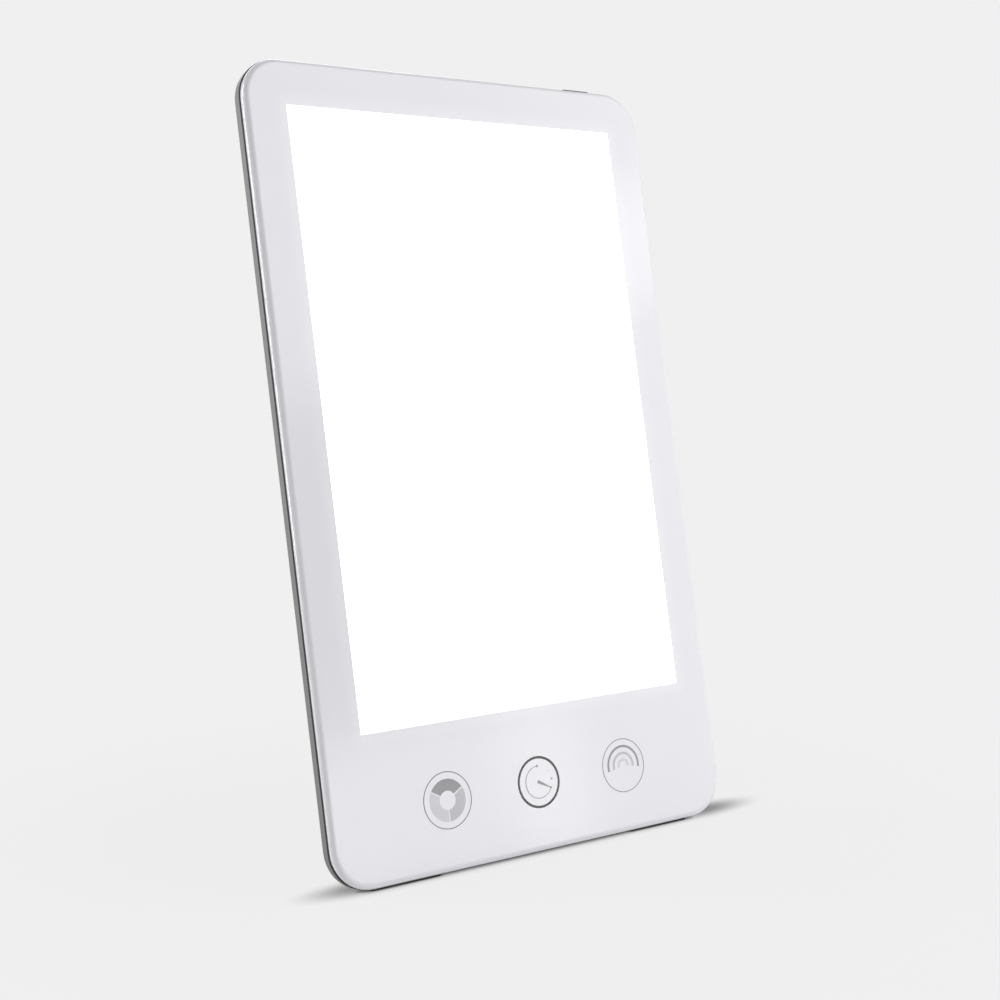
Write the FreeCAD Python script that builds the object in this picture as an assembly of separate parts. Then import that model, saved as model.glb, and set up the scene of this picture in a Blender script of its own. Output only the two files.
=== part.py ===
import FreeCAD, Part
import math
import os

# A slim light therapy lamp: a white and grey panel that leans back on a fold-out leg.
# The panel is drawn upright: x runs across it, y from its front face to its back, z up it.
# At the end everything is tipped back onto the floor.

# Panel, in millimetres and degrees: its outline follows from the window and what lies around it
corner_radius = 15.5
lean_angle = 12.0

# Front shell
face_wall = 1.8
bezel_side = 3.2
bezel_round = 2.2
side_wall = 1.8
seam_width = 0.6
gasket_inset = 0.5
gasket_wall = 1.1

# Light window
window_width = 149.5
window_height = 228.4
window_gap = 0.1

# Optical stack, front to back
lip_margin = 3.0
lip_thickness = 1.0
film_thickness = 0.2
guide_thickness = 2.5
guide_margin = 3.5
chip_gap = 0.3
chip_depth = 0.8
chip_width = 1.4
chip_length = 2.8
chip_count = 24
strip_thickness = 1.0
strip_gap = 0.1
chassis_thickness = 1.0
stack_gap = 0.1

# Rear shell
cover_floor = 1.8
cover_round = 1.6

# Screws that join the shells
shell_screw_radius = 1.1
shell_head_radius = 2.3
shell_head_height = 1.2
shell_boss_radius = 2.6
shell_boss_gap = 1.55
shell_boss_wall = 1.4
shell_screw_rows = 4
shell_screw_inset = 20.0
shell_post_height = 2.2
shell_head_sunk = 0.2
screw_gap = 0.05
head_gap = 0.3
thin_floor = 0.6
tip_gap = 0.2

# Small screws for boards and chassis
small_screw_radius = 0.9
small_head_radius = 1.8
small_head_height = 1.0
small_boss_radius = 2.2

# Chassis ears
ear_width = 10.0
ear_reach = 8.0
top_ear_spacing = 80.0
low_ear_inset = 6.3

# Touch controls
key_spacing = 41.8
key_height = 26.0
pad_radius = 7.0
pad_thickness = 1.6
board_thickness = 1.0
control_width = 124.0
control_height = 32.0
control_gap = 8.6
control_screw_inset = 4.0
touch_chip_size = 10.0
touch_chip_height = 1.2
touch_chip_offset = 15.0
small_chip_size = 5.0
small_chip_offsets = (17.0, 30.0)
socket_margin = 2.0
socket_height = 1.8
socket_depth = 5.0

# Power button on the top edge
button_offset = 65.0
button_depth = 6.0
button_width = 14.0
button_thickness = 2.4
button_proud = 1.8
button_edge = 0.5
button_flange = 1.0
button_travel = 0.6
button_gap = 0.3
button_seat_gap = 0.1
button_skirt = 0.7
plunger_radius = 0.9
plunger_length = 3.0
switch_width = 6.0
switch_height = 3.8
switch_thickness = 3.1
switch_board_width = 20.0
switch_board_height = 9.0
switch_board_gap = 0.8
switch_pocket_gap = 0.5

# Rear housing
housing_width = 120.0
housing_height = 123.0
housing_top_gap = 26.0
housing_depth = 14.0
housing_corner = 12.0
housing_round = 4.0
housing_wall = 2.0
housing_screw_inset = 12.0
housing_screw_radius = 1.4
housing_head_radius = 2.7
housing_head_height = 1.6
housing_boss_radius = 4.2
housing_post_radius = 3.2
housing_boss_split = 4.4

# Vents and wall keyholes
vent_count = 9
vent_pitch = 5.0
vent_width = 2.0
vent_length = 36.0
vent_rise = 54.0
keyhole_spacing = 70.0
keyhole_drop = 22.0
keyhole_radius = 4.5
keyhole_neck = 2.2
keyhole_reach = 8.5

# Driver board
driver_width = 94.0
driver_height = 72.0
driver_side_gap = 8.0
driver_rise = 17.0
driver_thickness = 1.6
driver_stand = 1.6
driver_screw_inset = 4.0
inductor_radius = 6.0
inductor_height = 7.0
inductor_inset = 18.0
capacitor_radius = 4.0
capacitor_height = 8.0
capacitor_inset = 14.0
capacitor_gap = 3.0
capacitor_rise = 26.0
driver_chip_width = 9.0
driver_chip_length = 10.0
driver_chip_height = 1.6
driver_chip_drop = 24.0
diode_width = 5.0
diode_length = 6.0
diode_gap = 9.0
header_width = 10.0
header_height = 5.0
header_gap = 14.0
connector_depth = 6.0
connector_height = 4.0
connector_inset = 1.0

# Inlet for the adapter's plug
inlet_rise = 21.0
inlet_body = 9.0
inlet_length = 10.0
inlet_front = 3.0
inlet_collar_radius = 4.0
inlet_bore_radius = 2.75
inlet_bore_depth = 9.5
inlet_pin_radius = 1.0
inlet_pin_short = 0.5
inlet_gap = 0.2

# Ribbon between the boards
ribbon_width = 12.0
ribbon_thickness = 0.3
ribbon_groove = 0.8
ribbon_gap = 0.5

# Fold-out leg
hinge_drop = 9.0
open_angle = 20.0
barrel_radius = 4.5
leg_gap = 0.5
leg_top_width = 60.0
leg_foot_width = 44.0
leg_thickness = 5.0
leg_skin = 2.0
leg_rib = 1.6
leg_frame = 3.0
leg_round = 1.4
leg_rib_count = 6
pad_height = 9.0
pad_proud = 0.2
pad_wall = 1.2
pad_sole = 5.0
heel_width = 24.0
heel_gap = 0.3

# Hinge
pin_radius = 1.5
pin_fit = 0.03
pin_run = 0.05
pin_head_radius = 2.6
pin_head_height = 1.2
lug_thickness = 5.0
washer_thickness = 0.8
washer_radius = 3.6
barrel_end_gap = 0.3
clip_radius = 3.0
clip_thickness = 0.6

# Feet under the panel
foot_length = 30.0
foot_spacing = 120.0
foot_width = 2.6
foot_sunk = 0.8
foot_proud = 0.9
foot_edge_gap = 0.9

# Sides of small pegs, holes and screws: few where nobody looks
hidden_sides = 8
seen_sides = 16

# Depths behind the front face
lip_front = face_wall
film_front = lip_front + lip_thickness
guide_front = film_front + film_thickness
reflector_front = guide_front + guide_thickness
chassis_front = reflector_front + film_thickness
chassis_back = chassis_front + chassis_thickness
floor_front = chassis_back + stack_gap
panel_depth = floor_front + cover_floor
cover_front = bezel_side + seam_width
board_front = face_wall + pad_thickness
board_back = board_front + board_thickness
boss_meet = floor_front - shell_post_height
head_seat = panel_depth - shell_head_height - shell_head_sunk
housing_back = panel_depth + housing_depth
housing_inside = housing_back - housing_wall
driver_front = panel_depth + driver_stand
driver_back = driver_front + driver_thickness
hinge_depth = panel_depth + leg_gap + barrel_radius

# Half sizes across the panel, from the middle out
lip_half = window_width / 2 + lip_margin
guide_half = window_width / 2 + guide_margin
strip_face = guide_half + chip_gap + chip_depth
flange_face = strip_face + strip_thickness
chassis_half = flange_face + chassis_thickness
shell_screw_side = chassis_half + shell_boss_gap + shell_boss_radius
half_width = shell_screw_side + shell_boss_radius + shell_boss_wall + side_wall

# Heights up the panel
control_low = key_height - control_height / 2
control_high = key_height + control_height / 2
window_low = control_high + control_gap + chassis_thickness + lip_margin
window_high = window_low + window_height
switch_drop = side_wall + button_seat_gap + button_flange + button_skirt + 2 * button_gap
panel_height = window_high + lip_margin + switch_board_gap + switch_board_height + switch_drop
stack_low = window_low - lip_margin
stack_high = window_high + lip_margin
chassis_low = stack_low - chassis_thickness
chassis_high = stack_high + chassis_thickness
leg_half = leg_top_width / 2
lug_face = leg_half
barrel_half = leg_half - washer_thickness - barrel_end_gap
wall_top = panel_height - side_wall
flange_top = wall_top - button_seat_gap
flange_low = flange_top - button_flange
plunger_top = flange_low - button_skirt
plunger_low = plunger_top - plunger_length
switch_top = plunger_top - button_travel - 2 * button_gap
switch_low = switch_top - switch_height
switch_board_high = panel_height - switch_drop
switch_board_low = switch_board_high - switch_board_height
housing_high = panel_height - housing_top_gap
housing_low = housing_high - housing_height
keyhole_height = housing_high - keyhole_drop
vent_middle = housing_low + vent_rise
driver_right = housing_width / 2 - driver_side_gap
driver_left = driver_right - driver_width
driver_low = housing_low + driver_rise
driver_high = driver_low + driver_height
inlet_height = driver_low + inlet_rise
hinge_height = housing_low - hinge_drop
foot_middle = panel_depth - cover_round - foot_edge_gap

# Height of the panel's own corner above the floor once it leans on its feet
lean = math.radians(lean_angle)
foot_drop = foot_proud * math.cos(lean) + foot_middle * math.sin(lean)

ACROSS = FreeCAD.Vector(1, 0, 0)
BACK = FreeCAD.Vector(0, 1, 0)
UP = FreeCAD.Vector(0, 0, 1)


def point(x, y, z):
    return FreeCAD.Vector(x, y, z)


def block(left, right, front, back, low, high):
    return Part.makeBox(right - left, back - front, high - low, point(left, front, low))


def rod_back(radius, x, z, front, back):
    return Part.makeCylinder(radius, back - front, point(x, front, z), BACK)


def rod_across(radius, y, z, left, right):
    return Part.makeCylinder(radius, right - left, point(left, y, z), ACROSS)


def rod_up(radius, x, y, low, high):
    return Part.makeCylinder(radius, high - low, point(x, y, low), UP)


def peg(radius, x, z, front, back, sides=None):
    """A rod with flat sides that points to the back, for pegs, holes and screws."""
    count = sides or hidden_sides
    turns = [2 * math.pi * (place + 0.5) / count for place in range(count)]
    ring = [point(x + radius * math.cos(t), front, z + radius * math.sin(t)) for t in turns]
    return Part.Face(Part.makePolygon(ring + [ring[0]])).extrude(point(0, back - front, 0))


def slot_cut(half, x, low, high, front, back):
    """A long upright cut with rounded ends."""
    steps = hidden_sides // 2
    ring = []
    for z, start in ((high - half, 0), (low + half, math.pi)):
        turns = [start + math.pi * place / steps for place in range(steps + 1)]
        ring += [point(x + half * math.cos(t), front, z + half * math.sin(t)) for t in turns]
    return Part.Face(Part.makePolygon(ring + [ring[0]])).extrude(point(0, back - front, 0))


def outline(left, right, low, high, radius, depth):
    """A rectangle with rounded corners, upright at one depth."""
    corners = [
        (right - radius, high - radius, 0),
        (left + radius, high - radius, 90),
        (left + radius, low + radius, 180),
        (right - radius, low + radius, 270),
    ]
    arcs = []
    for x, z, start in corners:
        turns = [math.radians(start + step) for step in (0, 45, 90)]
        arcs.append([point(x + radius * math.cos(t), depth, z + radius * math.sin(t)) for t in turns])
    edges = []
    for place, arc in enumerate(arcs):
        edges.append(Part.Arc(*arc).toShape())
        start = arc[2]
        end = arcs[(place + 1) % 4][0]
        if (end - start).Length > 1e-6:
            edges.append(Part.LineSegment(start, end).toShape())
    return Part.Wire(edges)


def slab(left, right, low, high, radius, front, back):
    face = Part.Face(outline(left, right, low, high, radius, front))
    return face.extrude(point(0, back - front, 0))


def panel_slab(inset, front, back):
    """The panel's outline, drawn in by an inset."""
    edge = half_width - inset
    return slab(-edge, edge, inset, panel_height - inset, corner_radius - inset, front, back)


def at_depth(shape, depth):
    """The edges of a shape that lie at one depth."""
    near = 1e-4
    return [e for e in shape.Edges
            if abs(e.BoundBox.YMin - depth) < near and abs(e.BoundBox.YMax - depth) < near]


def at_height(shape, height):
    near = 1e-4
    return [e for e in shape.Edges
            if abs(e.BoundBox.ZMin - height) < near and abs(e.BoundBox.ZMax - height) < near]


def joined(shapes):
    first = shapes[0]
    return first.fuse(shapes[1:]).removeSplitter() if len(shapes) > 1 else first


def group(shapes):
    return Part.makeCompound(shapes)


def shell_screw_spots():
    step = (panel_height - 2 * shell_screw_inset) / (shell_screw_rows - 1)
    rows = [shell_screw_inset + place * step for place in range(shell_screw_rows)]
    return [(sign * shell_screw_side, z) for sign in (-1, 1) for z in rows]


def control_screw_spots():
    x = control_width / 2 - control_screw_inset
    rows = (control_low + control_screw_inset, control_high - control_screw_inset)
    return [(sign * x, z) for sign in (-1, 1) for z in rows]


def switch_screw_spots():
    reach = switch_board_width / 2 - small_boss_radius - button_gap
    z = (switch_board_low + switch_board_high) / 2
    return [(button_offset + sign * reach, z) for sign in (-1, 1)]


def chassis_screw_spots():
    low = chassis_low - ear_reach / 2
    high = chassis_high + ear_reach / 2
    low_x = chassis_half - low_ear_inset - ear_width / 2
    top_x = top_ear_spacing / 2
    return [(-low_x, low), (low_x, low), (-top_x, high), (top_x, high)]


def driver_screw_spots():
    columns = (driver_left + driver_screw_inset, driver_right - driver_screw_inset * 3)
    rows = (driver_low + driver_screw_inset, driver_high - driver_screw_inset)
    return [(x, z) for x in columns for z in rows]


def housing_screw_spots():
    x = housing_width / 2 - housing_screw_inset
    rows = (housing_low + housing_screw_inset, housing_high - housing_screw_inset)
    return [(sign * x, z) for sign in (-1, 1) for z in rows]


def key_spots():
    return [(place * key_spacing, key_height) for place in (-1, 0, 1)]


# Front shell and seam


def front_bezel():
    body = panel_slab(0, 0, bezel_side)
    body = body.makeFillet(bezel_round, at_depth(body, 0))
    body = body.cut(panel_slab(side_wall, face_wall, bezel_side + 1))
    bosses = [peg(shell_boss_radius, x, z, face_wall, boss_meet) for x, z in shell_screw_spots()]
    bosses += [peg(small_boss_radius, x, z, face_wall, board_front)
               for x, z in control_screw_spots() + switch_screw_spots()]
    body = body.fuse(bosses)
    edge = window_width / 2
    holes = [block(-edge, edge, -1, face_wall + 1, window_low, window_high)]
    holes += [peg(shell_screw_radius + screw_gap, x, z, face_wall, boss_meet + 1)
              for x, z in shell_screw_spots()]
    holes += [peg(small_screw_radius + screw_gap, x, z, face_wall, board_front + 1)
              for x, z in control_screw_spots() + switch_screw_spots()]
    return body.cut(holes)


def edge_gasket():
    ring = panel_slab(gasket_inset, bezel_side, cover_front)
    return ring.cut(panel_slab(gasket_inset + gasket_wall, bezel_side - 1, cover_front + 1))


# Optical stack


def diffuser_plate():
    edge = window_width / 2 - window_gap
    window = block(-edge, edge, 0, lip_front + lip_thickness,
                   window_low + window_gap, window_high - window_gap)
    lip = block(-lip_half, lip_half, lip_front, film_front, stack_low, stack_high)
    return joined([window, lip])


def diffusion_film():
    return block(-lip_half, lip_half, film_front, guide_front, stack_low, stack_high)


def light_guide_plate():
    return block(-guide_half, guide_half, guide_front, reflector_front, stack_low, stack_high)


def reflector_film():
    return block(-guide_half, guide_half, reflector_front, chassis_front, stack_low, stack_high)


def led_strip(side):
    left, right = sorted((side * strip_face, side * flange_face))
    return block(left, right, guide_front, chassis_front - strip_gap,
                 stack_low + strip_thickness, stack_high - strip_thickness)


def led_chips(side):
    left, right = sorted((side * (strip_face - chip_depth), side * strip_face))
    middle = guide_front + guide_thickness / 2
    pitch = (stack_high - stack_low) / chip_count
    chips = []
    for place in range(chip_count):
        z = stack_low + (place + 0.5) * pitch
        chips.append(block(left, right, middle - chip_width / 2, middle + chip_width / 2,
                           z - chip_length / 2, z + chip_length / 2))
    return group(chips)


def chassis_plate():
    shapes = [block(-chassis_half, chassis_half, chassis_front, chassis_back, chassis_low, chassis_high)]
    for side in (-1, 1):
        left, right = sorted((side * flange_face, side * chassis_half))
        shapes.append(block(left, right, guide_front, chassis_back, chassis_low, chassis_high))
    ear = ear_width / 2
    for x, z in chassis_screw_spots():
        low, high = (z - ear_reach / 2, chassis_low + 1) if z < panel_height / 2 else (
            chassis_high - 1, z + ear_reach / 2)
        shapes.append(block(x - ear, x + ear, chassis_front, chassis_back, low, high))
    plate = joined(shapes)
    return plate.cut([peg(small_screw_radius + 2 * screw_gap, x, z, chassis_front - 1, chassis_back + 1)
                      for x, z in chassis_screw_spots()])


def small_screw(x, z, seat, tip):
    """A screw whose head sits on a face and whose tip lies in front of it or behind it."""
    way = 1 if tip > seat else -1
    head_end = seat - way * small_head_height
    head = peg(small_head_radius, x, z, min(seat, head_end), max(seat, head_end))
    shank = peg(small_screw_radius, x, z, min(seat, tip), max(seat, tip))
    return joined([head, shank])


def chassis_screws():
    tip = panel_depth - thin_floor - tip_gap
    return group([small_screw(x, z, chassis_front, tip) for x, z in chassis_screw_spots()])


# Touch controls


def control_board():
    half = control_width / 2
    board = block(-half, half, board_front, board_back, control_low, control_high)
    return board.cut([peg(small_screw_radius + 2 * screw_gap, x, z, board_front - 1, board_back + 1)
                      for x, z in control_screw_spots()])


def control_components():
    chip = touch_chip_size / 2
    parts = [block(-touch_chip_offset - chip, -touch_chip_offset + chip, board_back,
                   board_back + touch_chip_height, key_height - chip, key_height + chip)]
    chip = small_chip_size / 2
    for x in small_chip_offsets:
        parts.append(block(x - chip, x + chip, board_back, board_back + touch_chip_height,
                           key_height - chip, key_height + chip))
    socket = ribbon_width / 2 + socket_margin
    middle = ribbon_start_depth()
    top = control_high - connector_inset
    slot = block(-ribbon_width / 2, ribbon_width / 2, middle - ribbon_thickness / 2,
                 middle + ribbon_thickness / 2, top - connector_height + connector_inset, control_high)
    body = block(-socket, socket, board_back, board_back + socket_height, top - socket_depth, top)
    return group(parts + [body.cut(slot)])


def touch_pads():
    return group([peg(pad_radius, x, z, face_wall, board_front, seen_sides) for x, z in key_spots()])


def control_board_screws():
    return group([small_screw(x, z, board_back, face_wall + tip_gap) for x, z in control_screw_spots()])


def ribbon_start_depth():
    return board_back + socket_height / 2


def strip_along(path, thickness, left, right):
    """A flat strip that follows a path given as depth and height."""
    def normal(a, b):
        long = math.hypot(b[0] - a[0], b[1] - a[1])
        return (-(b[1] - a[1]) / long, (b[0] - a[0]) / long)
    sides = [[], []]
    for place, (y, z) in enumerate(path):
        before = normal(path[max(place - 1, 0)], path[max(place, 1)])
        after = normal(path[min(place, len(path) - 2)], path[min(place + 1, len(path) - 1)])
        across = (before[0] + after[0], before[1] + after[1])
        share = thickness / (across[0] * before[0] + across[1] * before[1])
        for side, sign in zip(sides, (-0.5, 0.5)):
            side.append(point(left, y + sign * share * across[0], z + sign * share * across[1]))
    loop = sides[0] + sides[1][::-1]
    return Part.Face(Part.makePolygon(loop + [loop[0]])).extrude(point(right - left, 0, 0))


def ribbon_cable():
    start = ribbon_start_depth()
    run = floor_front + ribbon_groove / 2
    end = driver_back + connector_height / 2
    rise = ribbon_width / 2
    path = [
        (start, control_high - connector_height + ribbon_thickness),
        (start, control_high + connector_inset),
        (run, control_high + connector_inset + rise),
        (run, housing_low + housing_wall + 2 * connector_inset),
        (end, driver_low - connector_height),
        (end, driver_low + connector_depth / 2),
    ]
    return strip_along(path, ribbon_thickness, -ribbon_width / 2, ribbon_width / 2)


# Power button and its switch


def pill_up(width, thickness, low, high):
    """A long rounded shape that stands on the button's place."""
    reach = (width - thickness) / 2
    middle = block(button_offset - reach, button_offset + reach, button_depth - thickness / 2,
                   button_depth + thickness / 2, low, high)
    ends = [rod_up(thickness / 2, button_offset + sign * reach, button_depth, low, high) for sign in (-1, 1)]
    return joined([middle] + ends)


def power_button():
    top = panel_height + button_proud
    cap = pill_up(button_width, button_thickness, flange_low, top)
    cap = cap.makeChamfer(button_edge, at_height(cap, top))
    flange = pill_up(button_width + 2, button_thickness + button_gap, flange_low, flange_top)
    stem = rod_up(plunger_radius + button_gap, button_offset, button_depth, plunger_top, flange_low)
    return joined([cap, flange, stem])


def switch_plunger():
    return rod_up(plunger_radius, button_offset, button_depth, plunger_low, plunger_top)


def power_switch():
    half = switch_width / 2
    body = block(button_offset - half, button_offset + half, board_back, board_back + switch_thickness,
                 switch_low, switch_top)
    shaft = rod_up(plunger_radius + button_gap, button_offset, button_depth,
                   plunger_low - button_travel - button_gap, switch_top + 1)
    return body.cut(shaft)


def switch_board():
    half = switch_board_width / 2
    board = block(button_offset - half, button_offset + half, board_front, board_back,
                  switch_board_low, switch_board_high)
    return board.cut([peg(small_screw_radius + 2 * screw_gap, x, z, board_front - 1, board_back + 1)
                      for x, z in switch_screw_spots()])


def switch_board_screws():
    return group([small_screw(x, z, board_back, face_wall + tip_gap) for x, z in switch_screw_spots()])


# Rear shell


def back_cover():
    body = panel_slab(0, cover_front, panel_depth)
    body = body.makeFillet(cover_round, at_depth(body, panel_depth))
    body = body.cut(panel_slab(side_wall, cover_front - 1, floor_front))
    posts = [peg(shell_boss_radius, x, z, boss_meet, floor_front) for x, z in shell_screw_spots()]
    posts += [peg(small_boss_radius, x, z, panel_depth, driver_front) for x, z in driver_screw_spots()]
    split = panel_depth + housing_boss_split
    posts += [peg(housing_post_radius, x, z, panel_depth, split) for x, z in housing_screw_spots()]
    body = body.fuse(posts)
    return body.cut(cover_holes() + cover_recesses())


def cover_holes():
    holes = [peg(shell_screw_radius + 3 * screw_gap, x, z, 0, panel_depth + 1)
             for x, z in shell_screw_spots()]
    holes += [peg(shell_head_radius + head_gap, x, z, head_seat, panel_depth + 1, seen_sides)
              for x, z in shell_screw_spots()]
    blind = panel_depth - thin_floor
    holes += [peg(small_screw_radius + screw_gap, x, z, floor_front - 1, blind)
              for x, z in chassis_screw_spots()]
    holes += [peg(small_screw_radius + screw_gap, x, z, floor_front + thin_floor, driver_front + 1)
              for x, z in driver_screw_spots()]
    split = panel_depth + housing_boss_split
    holes += [peg(housing_screw_radius + screw_gap, x, z, floor_front + thin_floor, split + 1)
              for x, z in housing_screw_spots()]
    return holes


def cover_recesses():
    groove = ribbon_width / 2 + ribbon_gap
    slot_low = housing_low + housing_wall + 1
    gap = switch_pocket_gap
    half = switch_board_width / 2 + gap
    cuts = [
        block(-groove, groove, floor_front - 1, floor_front + ribbon_groove, control_high + connector_inset,
              slot_low + 1),
        block(-groove, groove, floor_front - 1, panel_depth + 1, slot_low, driver_low - connector_inset),
        block(button_offset - half, button_offset + half, floor_front - 1,
              board_back + switch_thickness + stack_gap, switch_low - gap, wall_top),
        pill_up(button_width + 2 * button_gap, button_thickness + 2 * button_gap, wall_top - 1, panel_height + 2),
    ]
    for side in (-1, 1):
        cuts.append(foot_strip(side * foot_spacing / 2, -1, foot_sunk))
    return cuts


def foot_strip(x, low, high):
    """A strip with round ends under the panel, at one place across it."""
    reach = (foot_length - foot_width) / 2
    middle = block(x - reach, x + reach, foot_middle - foot_width / 2, foot_middle + foot_width / 2, low, high)
    ends = [rod_up(foot_width / 2, x + sign * reach, foot_middle, low, high) for sign in (-1, 1)]
    return joined([middle] + ends)


def cover_screws():
    screws = []
    tip = face_wall + tip_gap
    for x, z in shell_screw_spots():
        head = peg(shell_head_radius, x, z, head_seat, head_seat + shell_head_height, seen_sides)
        screws.append(joined([head, peg(shell_screw_radius, x, z, tip, head_seat)]))
    return group(screws)


# Rear housing


def housing_form(inset, front, back):
    """The housing's outline, drawn in by a wall, between two depths."""
    half = housing_width / 2 - inset
    return slab(-half, half, housing_low + inset, housing_high - inset, housing_corner - inset, front, back)


def keyhole(x):
    entry = rod_back(keyhole_radius, x, keyhole_height, housing_inside - 1, housing_back + 1)
    top = keyhole_height + keyhole_reach
    neck = block(x - keyhole_neck, x + keyhole_neck, housing_inside - 1, housing_back + 1,
                 keyhole_height, top)
    end = rod_back(keyhole_neck, x, top, housing_inside - 1, housing_back + 1)
    return joined([entry, neck, end])


def vents():
    half = vent_width / 2
    cuts = []
    for place in range(vent_count):
        x = (place - (vent_count - 1) / 2) * vent_pitch
        cuts.append(slot_cut(half, x, vent_middle - vent_length / 2, vent_middle + vent_length / 2,
                             housing_inside - 1, housing_back + 1))
    return cuts


def hinge_lug(side):
    left, right = sorted((side * lug_face, side * (lug_face + lug_thickness)))
    eye = rod_across(barrel_radius, hinge_depth, hinge_height, left, right)
    arm = block(left, right, hinge_depth - barrel_radius, hinge_depth + barrel_radius,
                hinge_height, housing_low + housing_wall)
    return joined([eye, arm])


def housing_inlet_hole():
    depth = inlet_axis_depth()
    return rod_across(inlet_collar_radius + inlet_gap, depth, inlet_height,
                      housing_width / 4, housing_width / 2 + 1)


def rear_housing():
    body = housing_form(0, panel_depth, housing_back)
    body = body.makeFillet(housing_round, at_depth(body, housing_back))
    body = body.cut(housing_form(housing_wall, panel_depth - 1, housing_inside))
    split = panel_depth + housing_boss_split
    bosses = [peg(housing_boss_radius, x, z, split, housing_inside + housing_wall / 2, seen_sides)
              for x, z in housing_screw_spots()]
    lugs = [hinge_lug(side) for side in (-1, 1)]
    body = body.fuse(bosses + lugs)
    seat = split + housing_wall
    holes = [peg(housing_screw_radius + 3 * screw_gap, x, z, split - 1, housing_back + 1)
             for x, z in housing_screw_spots()]
    holes += [peg(housing_head_radius + head_gap, x, z, seat, housing_back + 1, seen_sides)
              for x, z in housing_screw_spots()]
    holes += [keyhole(sign * keyhole_spacing / 2) for sign in (-1, 1)]
    holes += vents()
    holes.append(housing_inlet_hole())
    reach = lug_face + lug_thickness + 1
    holes.append(rod_across(pin_radius + pin_fit, hinge_depth, hinge_height, -reach, reach))
    return body.cut(holes)


def housing_screws():
    screws = []
    seat = panel_depth + housing_boss_split + housing_wall
    for x, z in housing_screw_spots():
        head = peg(housing_head_radius, x, z, seat, seat + housing_head_height, seen_sides)
        shank = peg(housing_screw_radius, x, z, floor_front + thin_floor + tip_gap, seat)
        screws.append(joined([head, shank]))
    return group(screws)


# Driver board and inlet


def driver_board():
    board = block(driver_left, driver_right, driver_front, driver_back, driver_low, driver_high)
    return board.cut([peg(small_screw_radius + 2 * screw_gap, x, z, driver_front - 1, driver_back + 1)
                      for x, z in driver_screw_spots()])


def driver_board_screws():
    tip = floor_front + thin_floor + tip_gap
    return group([small_screw(x, z, driver_back, tip) for x, z in driver_screw_spots()])


def driver_inductor():
    """A drum core: two cheeks and a wound waist."""
    x = driver_left + inductor_inset
    z = driver_high - inductor_inset
    cheek = inductor_height / 4
    end = driver_back + inductor_height
    waist = peg(inductor_radius * 0.75, x, z, driver_back, end, seen_sides)
    cheeks = [peg(inductor_radius, x, z, driver_back, driver_back + cheek, seen_sides),
              peg(inductor_radius, x, z, end - cheek, end, seen_sides)]
    return joined([waist] + cheeks)


def driver_capacitors():
    cans = []
    for place in range(2):
        x = driver_left + capacitor_inset + place * (2 * capacitor_radius + capacitor_gap)
        z = driver_low + capacitor_rise
        cans.append(peg(capacitor_radius, x, z, driver_back, driver_back + capacitor_height, seen_sides))
    return group(cans)


def driver_chips():
    z = driver_high - driver_chip_drop
    wide = driver_chip_width
    chips = [block(0, wide, driver_back, driver_back + driver_chip_height,
                   z - driver_chip_length / 2, z + driver_chip_length / 2)]
    for place in range(2):
        high = z - place * (diode_length + diode_gap)
        left = wide + diode_gap
        chips.append(block(left, left + diode_width, driver_back, driver_back + driver_chip_height,
                           high - diode_length / 2, high + diode_length / 2))
    return group(chips)


def driver_connectors():
    half = ribbon_width / 2 + socket_margin
    low = driver_low + connector_inset
    middle = driver_back + connector_height / 2
    socket = block(-half, half, driver_back, driver_back + connector_height, low, low + connector_depth)
    slot = block(-ribbon_width / 2, ribbon_width / 2, middle - ribbon_thickness / 2,
                 middle + ribbon_thickness / 2, driver_low, driver_low + connector_depth / 2)
    left = half + header_gap
    header = block(left, left + header_width, driver_back, driver_back + header_height,
                   low, low + connector_depth)
    return group([socket.cut(slot), header])


def inlet_axis_depth():
    return driver_back + inlet_body / 2 - inlet_gap


def inlet_nose():
    """Where the inlet's round collar ends, just proud of the housing's side wall."""
    return housing_width / 2 + inlet_gap


def dc_inlet():
    depth = inlet_axis_depth()
    nose = inlet_nose()
    half = inlet_body / 2
    body = block(driver_right - inlet_length, driver_right + inlet_front, driver_back,
                 depth + inlet_collar_radius, inlet_height - half, inlet_height + half)
    collar = rod_across(inlet_collar_radius, depth, inlet_height, driver_right, nose)
    bore = rod_across(inlet_bore_radius, depth, inlet_height, nose - inlet_bore_depth, nose + 1)
    return joined([body, collar]).cut(bore)


def dc_inlet_pin():
    nose = inlet_nose()
    return rod_across(inlet_pin_radius, inlet_axis_depth(), inlet_height,
                      nose - inlet_bore_depth, nose - inlet_pin_short)


# Hinge and leg, drawn folded flat against the back


def hinge_pin():
    reach = lug_face + lug_thickness
    shaft = rod_across(pin_radius, hinge_depth, hinge_height, -reach, reach + 2 * clip_thickness)
    head = rod_across(pin_head_radius, hinge_depth, hinge_height, -reach - pin_head_height, -reach)
    return joined([shaft, head])


def hinge_clip():
    start = lug_face + lug_thickness
    ring = rod_across(clip_radius, hinge_depth, hinge_height, start, start + clip_thickness)
    return ring.cut(rod_across(pin_radius, hinge_depth, hinge_height, start - 1, start + 2))


def hinge_washers():
    washers = []
    for side in (-1, 1):
        left, right = sorted((side * lug_face, side * (lug_face - washer_thickness)))
        disc = rod_across(washer_radius, hinge_depth, hinge_height, left, right)
        washers.append(disc.cut(rod_across(pin_radius + pin_fit, hinge_depth, hinge_height, left - 1, right + 1)))
    return group(washers)


def leg_length():
    """From the hinge to the floor, along the open leg."""
    rise = hinge_height * math.cos(lean) - hinge_depth * math.sin(lean) + foot_drop
    return rise / math.cos(math.radians(open_angle - lean_angle))


def leg_width_at(drop):
    share = drop / leg_length()
    return leg_top_width - 2 * washer_thickness - 2 * barrel_end_gap - share * (
        leg_top_width - leg_foot_width)


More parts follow.
